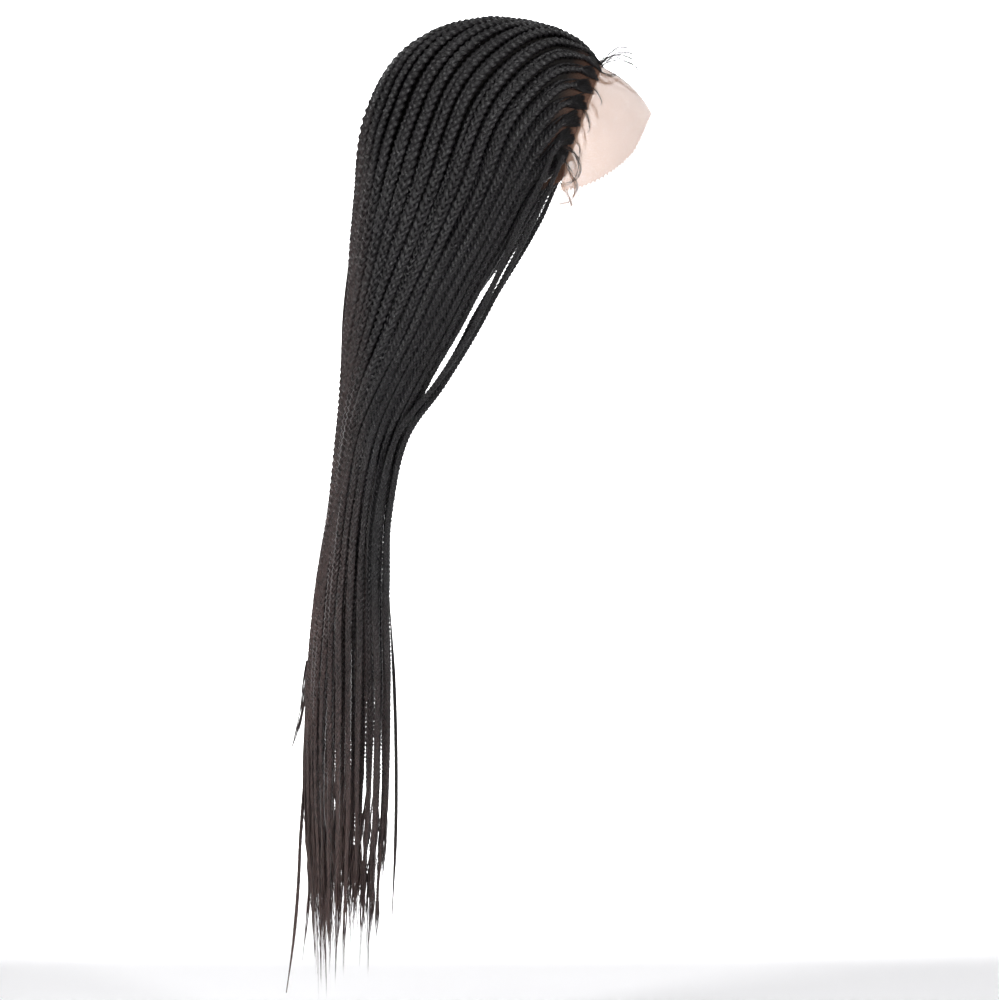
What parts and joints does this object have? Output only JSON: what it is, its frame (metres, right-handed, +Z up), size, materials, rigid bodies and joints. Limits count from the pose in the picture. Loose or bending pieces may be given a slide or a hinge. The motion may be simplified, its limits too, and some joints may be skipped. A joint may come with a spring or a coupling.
{
  "type": "braid wig",
  "caption": "Long wig of thin three-strand braids that sweep back from a lace hairline over a hollow cap and hang behind the shoulders to loose tapered tails",
  "frame": {"origin": "inside top of the cap, where the crown of the head touches it, on the middle plane", "axes": "+Z up along the hanging braids, the face looks towards -Y, the wearer's left is +X"},
  "size_m": [0.2776, 0.2898, 0.813],
  "materials": {
    "braid_hair": "plaited synthetic hair fibre, near black with a soft sheen, warm brown at the tails",
    "cap_net": "dark stretch net",
    "lace": "sheer tan lace with a pinked edge"
  },
  "bodies": {
    "root": {"wig_cap": "cap_net", "lace_front": "lace", "braid_right_01": "braid_hair", "braid_right_02": "braid_hair", "braid_right_03": "braid_hair", "braid_right_04": "braid_hair", "braid_right_05": "braid_hair", "braid_right_06": "braid_hair", "braid_right_07": "braid_hair", "braid_right_08": "braid_hair", "braid_right_09": "braid_hair", "braid_right_10": "braid_hair", "braid_right_11": "braid_hair", "braid_right_12": "braid_hair", "braid_right_13": "braid_hair", "braid_right_14": "braid_hair", "braid_right_15": "braid_hair", "braid_right_16": "braid_hair", "braid_right_17": "braid_hair", "braid_right_18": "braid_hair", "braid_left_01": "braid_hair", "braid_left_02": "braid_hair", "braid_left_03": "braid_hair", "braid_left_04": "braid_hair", "braid_left_05": "braid_hair", "braid_left_06": "braid_hair", "braid_left_07": "braid_hair", "braid_left_08": "braid_hair", "braid_left_09": "braid_hair", "braid_left_10": "braid_hair", "braid_left_11": "braid_hair", "braid_left_12": "braid_hair", "braid_left_13": "braid_hair", "braid_left_14": "braid_hair", "braid_left_15": "braid_hair", "braid_left_16": "braid_hair", "braid_left_17": "braid_hair", "braid_left_18": "braid_hair", "loose_braid_right_1": "braid_hair", "loose_braid_right_2": "braid_hair", "loose_braid_left_1": "braid_hair", "loose_braid_left_2": "braid_hair", "under_braids_side_right": "braid_hair", "under_braids_side_left": "braid_hair", "under_braids_back_right": "braid_hair", "under_braids_back_left": "braid_hair"}
  },
  "joints": []
}
